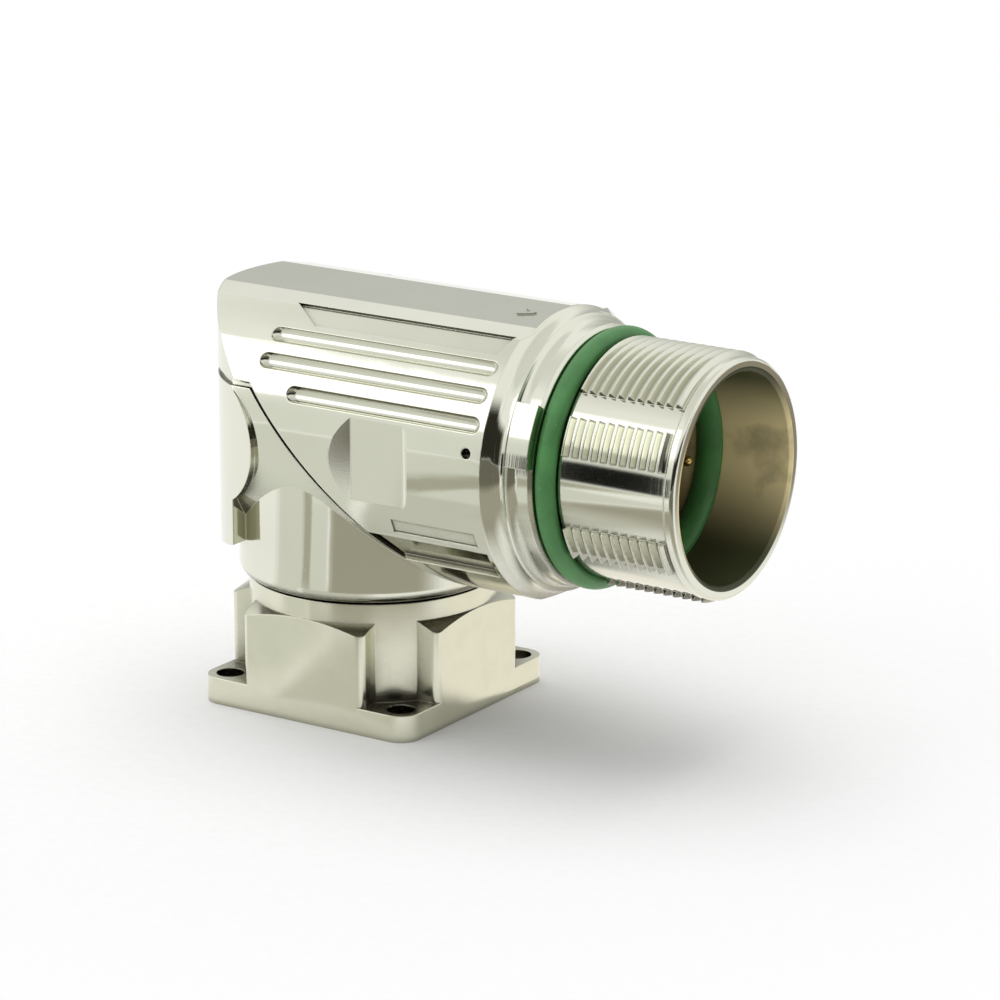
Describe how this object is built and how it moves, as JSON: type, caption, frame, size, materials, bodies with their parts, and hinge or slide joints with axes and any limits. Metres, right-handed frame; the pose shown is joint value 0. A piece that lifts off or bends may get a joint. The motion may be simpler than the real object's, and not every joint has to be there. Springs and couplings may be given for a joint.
{
  "type": "angled circular connector socket",
  "caption": "Right-angle circular connector socket with a threaded metal barrel, green sealing rings and a ribbed elbow that turns on a square panel flange",
  "frame": {"origin": "centre of the flange underside, on the swivel axis", "axes": "+Z along the swivel axis away from the panel, +X along the mating axis out of the mouth"},
  "size_m": [0.0544, 0.028, 0.0407],
  "materials": {
    "body_nickel": "bright nickel plate on die-cast zinc",
    "base_nickel": "satin nickel plate on die-cast zinc",
    "seal_green": "smooth",
    "seal_black": "smooth",
    "insulator": "moulded",
    "contact_gold": "gold plated",
    "spring_steel": "stamped spring steel"
  },
  "bodies": {
    "base": {"mounting_flange": "base_nickel", "flange_seal": "seal_black"},
    "elbow": {"swivel_elbow": "body_nickel", "swivel_seal": "seal_black", "retaining_ring": "spring_steel", "front_housing": "body_nickel", "housing_gasket": "seal_black", "vibration_ring": "seal_green", "face_seal": "seal_green", "contact_insert": "insulator", "insert_retainer": "spring_steel", "contact_pin_1": "contact_gold", "contact_pin_2": "contact_gold", "contact_pin_3": "contact_gold", "contact_pin_4": "contact_gold", "contact_pin_5": "contact_gold", "contact_pin_6": "contact_gold", "contact_pin_7": "contact_gold", "contact_pin_8": "contact_gold", "contact_pin_9": "contact_gold", "contact_pin_10": "contact_gold", "contact_pin_11": "contact_gold", "contact_pin_12": "contact_gold"}
  },
  "joints": [
    {"name": "swivel", "type": "hinge", "parent": "base", "child": "elbow", "pos_m": [0, 0, 0.0122], "axis": [0, 0, 1], "range_deg": [-165, 165]}
  ]
}
